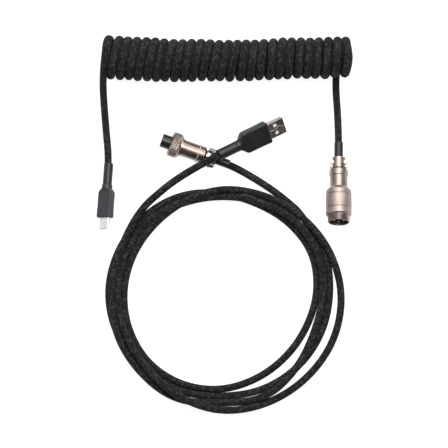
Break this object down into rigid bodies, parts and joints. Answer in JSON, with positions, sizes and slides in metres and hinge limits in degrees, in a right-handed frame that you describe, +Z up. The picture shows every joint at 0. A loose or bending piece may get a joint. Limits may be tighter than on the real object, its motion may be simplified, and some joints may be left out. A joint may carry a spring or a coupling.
{
  "type": "detachable coiled keyboard cable",
  "caption": "Two-part keyboard cable: curly braided cord with a USB-C plug and a round screw connector, and a wound host cord with its mating connector and a USB-A plug.",
  "frame": {"origin": "on the table, at the bottom centre of the box round the four connectors", "axes": "+X along the curly coil towards the end with the male connector, +Y from the wound loops to the curly coil, +Z up"},
  "size_m": [0.1877, 0.2799, 0.0306],
  "materials": {
    "braided_cord": "fine diagonal braid, near black",
    "shrunk_sleeve": "satin shrunk tube",
    "grip": "fine spark-eroded matt",
    "nickel": "bright nickel plate",
    "plug_steel": "tinned, lightly scratched",
    "black_insert": "moulded, satin",
    "white_insulator": "moulded",
    "contact_metal": "gold flash",
    "circuit_board": "solder mask",
    "wire_cover": "extruded"
  },
  "bodies": {
    "keyboard_side": {"usb_c_shell": "plug_steel", "usb_c_contact_module": "black_insert", "usb_c_contacts": "contact_metal", "usb_c_latch_springs": "plug_steel", "usb_c_paddle_board": "circuit_board", "usb_c_shield_can": "plug_steel", "usb_c_boot": "grip", "usb_c_strain_sleeve": "shrunk_sleeve", "usb_c_wires": "wire_cover", "lead_usb_c": "braided_cord", "curly_coil": "braided_cord"},
    "male_end": {"coil_last_turns": "braided_cord", "lead_male": "braided_cord", "male_strain_sleeve": "shrunk_sleeve", "male_back_shell": "nickel", "male_clamp_saddle": "nickel", "male_clamp_screws": "nickel", "male_knurled_sleeve": "nickel", "male_front_shell": "nickel", "male_insert": "black_insert", "male_pins": "contact_metal", "male_insert_ring": "nickel", "male_wires": "wire_cover"},
    "host_cable": {"female_insert": "black_insert", "female_contacts": "contact_metal", "female_front_shell": "nickel", "female_insert_ring": "nickel", "female_back_shell": "nickel", "female_clamp_saddle": "nickel", "female_clamp_screws": "nickel", "female_strain_sleeve": "shrunk_sleeve", "female_wires": "wire_cover", "usb_a_shell": "plug_steel", "usb_a_insulator": "white_insulator", "usb_a_contacts": "contact_metal", "usb_a_shield_can": "plug_steel", "usb_a_boot": "grip", "usb_a_strain_sleeve": "shrunk_sleeve", "usb_a_wires": "wire_cover", "host_tail_usb_a": "braided_cord", "host_coil": "braided_cord", "host_tail_female": "braided_cord"},
    "nut_carrier": {"nut_washer": "nickel"},
    "coupling_nut": {"coupling_nut": "nickel"}
  },
  "joints": [
    {"name": "coil_stretch", "type": "slide", "parent": "keyboard_side", "child": "male_end", "axis": [1, 0, 0], "range_m": [0, 0.15], "stiffness_N_per_m": 20, "deforming": ["curly_coil"]},
    {"name": "host_cable_apart", "type": "slide", "parent": "keyboard_side", "child": "host_cable", "axis": [0, -1, 0], "range_m": [0, 0.12]},
    {"name": "nut_slide", "type": "slide", "parent": "host_cable", "child": "nut_carrier", "axis": [-0.9386, 0.3195, 0.1305], "range_m": [0, 0.0045]},
    {"name": "nut_spin", "type": "hinge", "parent": "nut_carrier", "child": "coupling_nut", "pos_m": [-0.03565, 0.01986, 0.00985], "axis": [-0.9386, 0.3195, 0.1305], "continuous": true}
  ]
}
